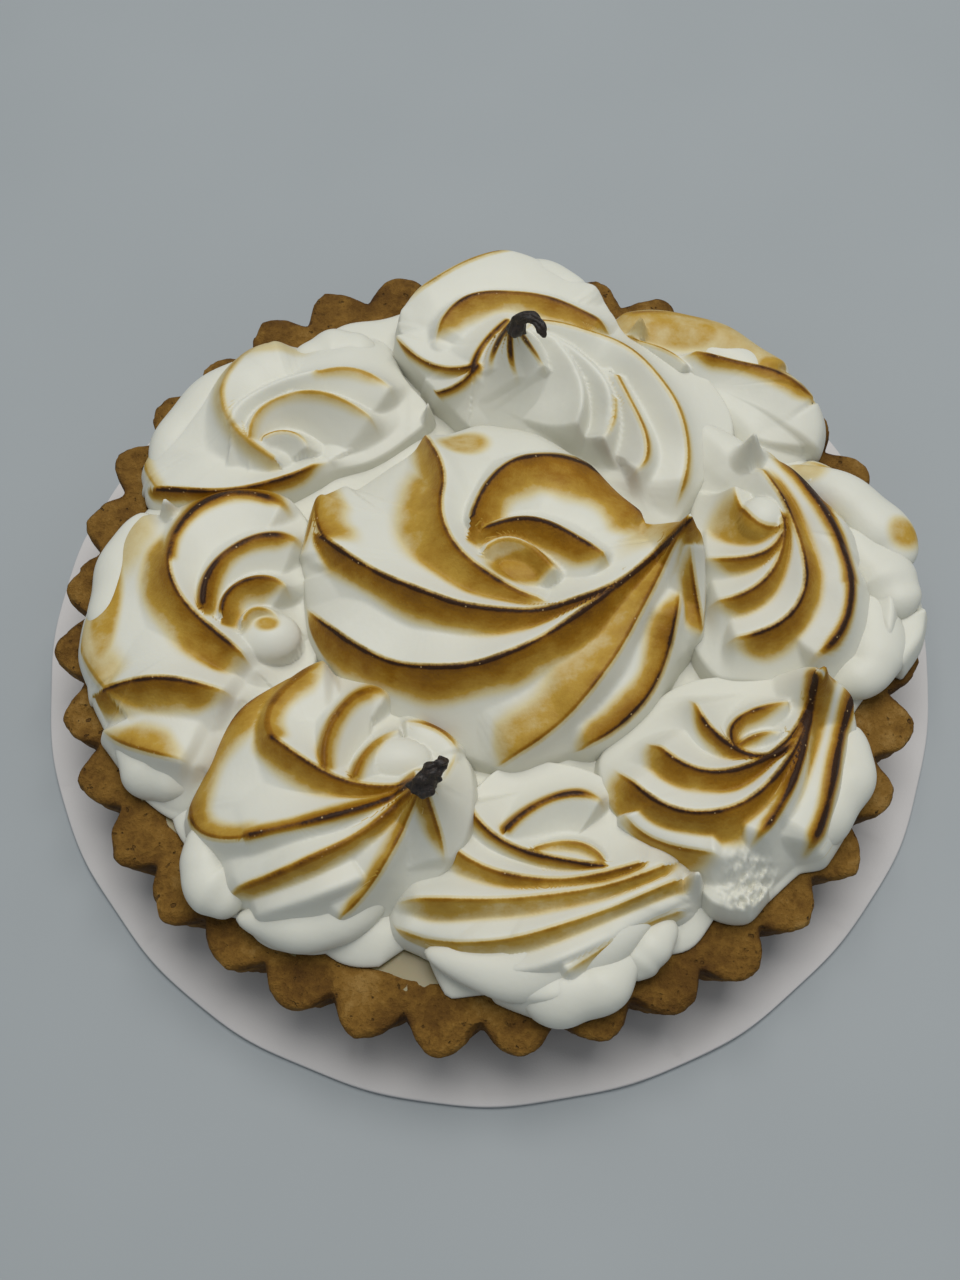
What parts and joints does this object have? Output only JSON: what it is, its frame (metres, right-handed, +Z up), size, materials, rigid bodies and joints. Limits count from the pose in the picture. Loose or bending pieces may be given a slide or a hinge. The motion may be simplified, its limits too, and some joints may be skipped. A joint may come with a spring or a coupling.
{
  "type": "lemon meringue tart",
  "caption": "Round fluted shortcrust tart filled with lemon curd, topped with torched piped meringue swirls, standing on its flat card board.",
  "frame": {"origin": "centre of the board's underside, on the surface it stands on", "axes": "+Z up, -Y the front that the picture is taken from, +X to the right"},
  "size_m": [0.26, 0.26, 0.078],
  "materials": {
    "board_card": "pale grey covered card, semi-matte",
    "shortcrust": "baked shortcrust pastry, matt and finely grained",
    "lemon_curd": "set lemon curd, smooth and glossy",
    "meringue": "soft piped meringue, satin, torched brown along its ridges"
  },
  "bodies": {
    "root": {"cake_board": "board_card", "crust": "shortcrust", "lemon_curd": "lemon_curd", "meringue_swirl_centre": "meringue", "meringue_swirl_left": "meringue", "meringue_swirl_left_back": "meringue", "meringue_swirl_left_front": "meringue", "meringue_swirl_front": "meringue", "meringue_swirl_right_front": "meringue", "meringue_swirl_right": "meringue", "meringue_swirl_right_back": "meringue", "meringue_swirl_back": "meringue"}
  },
  "joints": []
}
